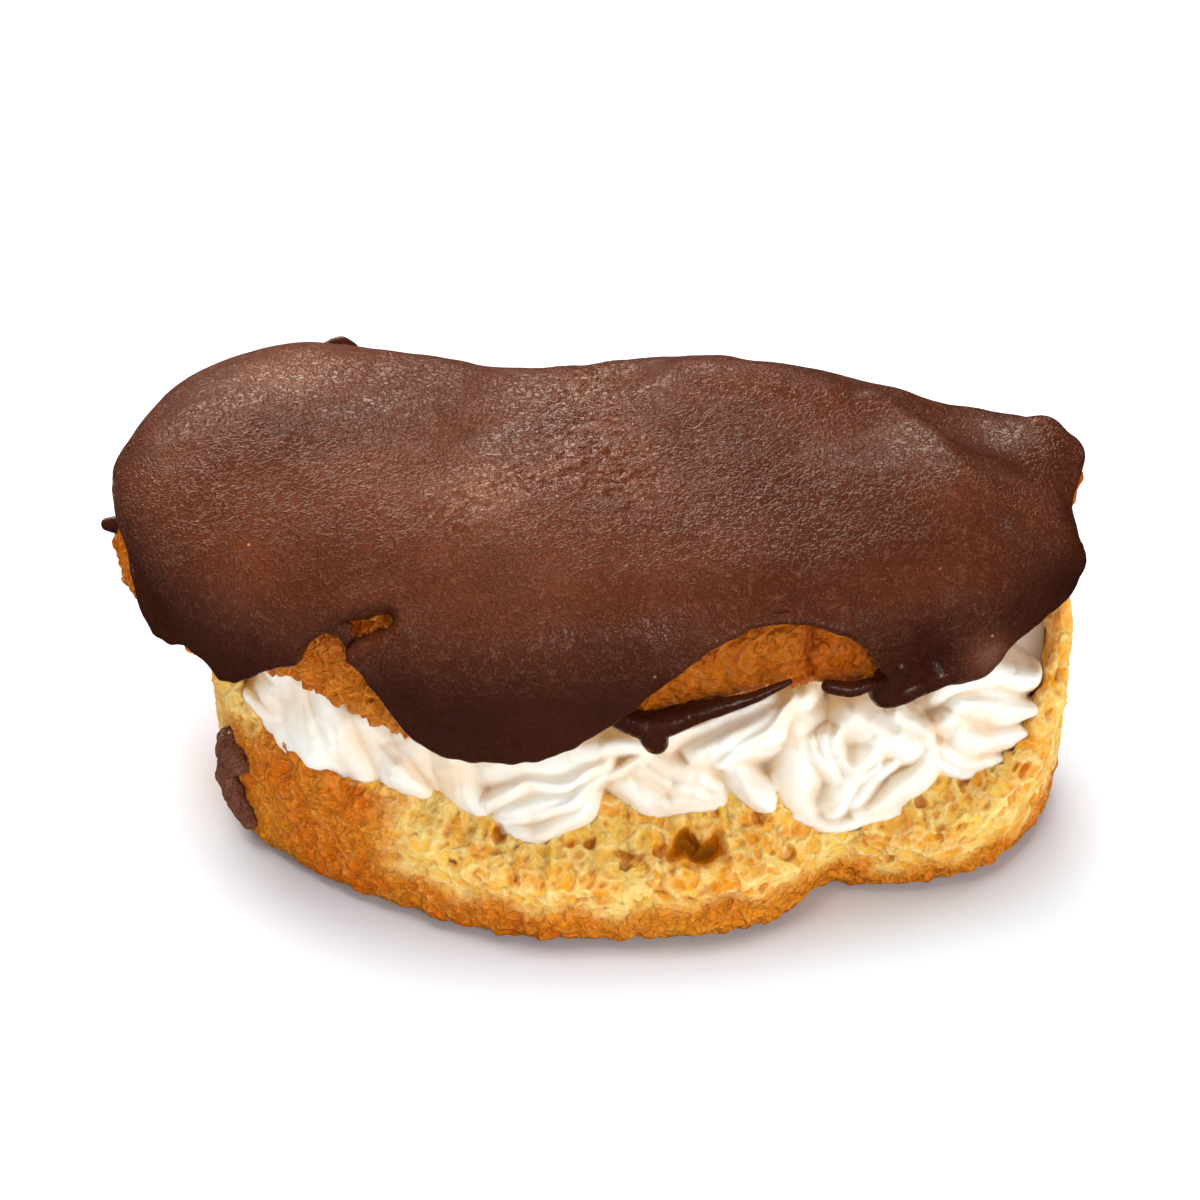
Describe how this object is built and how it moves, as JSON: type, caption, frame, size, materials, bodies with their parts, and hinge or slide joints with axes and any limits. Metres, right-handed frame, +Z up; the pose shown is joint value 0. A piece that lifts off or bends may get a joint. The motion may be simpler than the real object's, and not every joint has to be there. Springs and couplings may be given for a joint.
{
  "type": "chocolate eclair",
  "caption": "Split choux pastry filled with piped whipped cream, its upper half covered in chocolate icing that runs down over the sides.",
  "frame": {"origin": "middle of the footprint, on the surface the eclair stands on", "axes": "+X along the eclair, +Z up, and the open side that shows the cream faces -Y"},
  "size_m": [0.1296, 0.0614, 0.0629],
  "materials": {
    "choux": "baked choux, golden crumb and brown crust",
    "cream": "whipped cream, soft sheen",
    "crust": "baked choux crust",
    "chocolate": "set chocolate icing, satin"
  },
  "bodies": {
    "root": {"base_bun": "choux", "cream": "cream", "lid_bun": "crust", "icing": "chocolate"}
  },
  "joints": []
}
